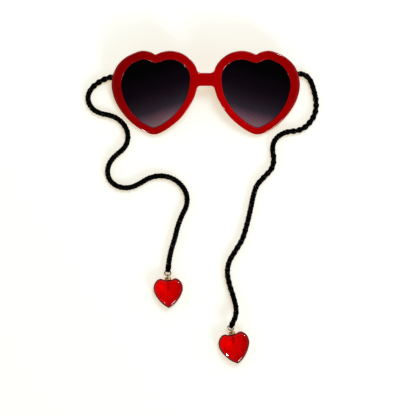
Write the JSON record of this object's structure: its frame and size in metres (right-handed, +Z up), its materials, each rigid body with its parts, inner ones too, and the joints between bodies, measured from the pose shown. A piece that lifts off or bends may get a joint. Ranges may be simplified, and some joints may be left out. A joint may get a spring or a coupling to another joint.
{
  "type": "heart shaped sunglasses",
  "caption": "Heart-shaped sunglasses with gradient smoke lenses and a hinged braided cord at each side, ending in a red glass heart charm that swings from a ring.",
  "frame": {"origin": "on the table under the middle of the front, as the glasses lie on their back with the tips of the hearts down", "axes": "+X across the front towards the right-hand lens as pictured, +Y up the front away from the tips, +Z up from the table through the lenses' outer faces"},
  "size_m": [0.1823, 0.2429, 0.0214],
  "materials": {
    "frame_red": "gloss, injection moulded",
    "lens_smoke": "clear, tinted from dark smoke at the top to pale mauve at the tip",
    "hinge_steel": "satin",
    "cap_black": "black plated",
    "cord_black": "waxed gloss, round braid",
    "ring_silver": "polished",
    "finding_gold": "polished, gold plated",
    "heart_glass": "clear red, fire polished"
  },
  "bodies": {
    "front": {"front_frame": "frame_red", "left_lens": "lens_smoke", "right_lens": "lens_smoke", "left_hinge_leaf": "hinge_steel", "right_hinge_leaf": "hinge_steel", "left_hinge_screw": "hinge_steel", "right_hinge_screw": "hinge_steel"},
    "left_cord_body": {"left_cord_cap": "cap_black", "left_cord": "cord_black", "left_cord_loop": "cord_black"},
    "left_ring_body": {"left_jump_ring": "ring_silver"},
    "left_charm": {"left_bead_cap": "finding_gold", "left_screw_eye": "finding_gold", "left_glass_heart": "heart_glass"},
    "right_cord_body": {"right_cord_cap": "cap_black", "right_cord": "cord_black", "right_cord_loop": "cord_black"},
    "right_ring_body": {"right_jump_ring": "ring_silver"},
    "right_charm": {"right_bead_cap": "finding_gold", "right_screw_eye": "finding_gold", "right_glass_heart": "heart_glass"}
  },
  "joints": [
    {"name": "left_cord_hinge", "type": "hinge", "parent": "front", "child": "left_cord_body", "pos_m": [-0.06608, 0.01308, 0.00557], "axis": [0, -0.9703, -0.2419], "range_deg": [0, 120]},
    {"name": "left_ring_swing", "type": "hinge", "parent": "left_cord_body", "child": "left_ring_body", "pos_m": [-0.02941, -0.13798, 0.00225], "axis": [-0.993, 0.1178, 0], "range_deg": [-98, 52]},
    {"name": "left_charm_swing", "type": "hinge", "parent": "left_ring_body", "child": "left_charm", "pos_m": [-0.02955, -0.14222, 0.00402], "axis": [-0.9995, -0.032, 0], "range_deg": [-37, 83]},
    {"name": "right_cord_hinge", "type": "hinge", "parent": "front", "child": "right_cord_body", "pos_m": [0.06608, 0.01308, 0.00557], "axis": [0, 0.9703, 0.2419], "range_deg": [0, 120]},
    {"name": "right_ring_swing", "type": "hinge", "parent": "right_cord_body", "child": "right_ring_body", "pos_m": [0.0199, -0.18132, 0.00675], "axis": [-0.9218, 0.3877, 0], "range_deg": [-26, 124]},
    {"name": "right_charm_swing", "type": "hinge", "parent": "right_ring_body", "child": "right_charm", "pos_m": [0.01991, -0.18478, 0.00402], "axis": [-0.9803, -0.1975, 0], "range_deg": [-101, 19]}
  ]
}
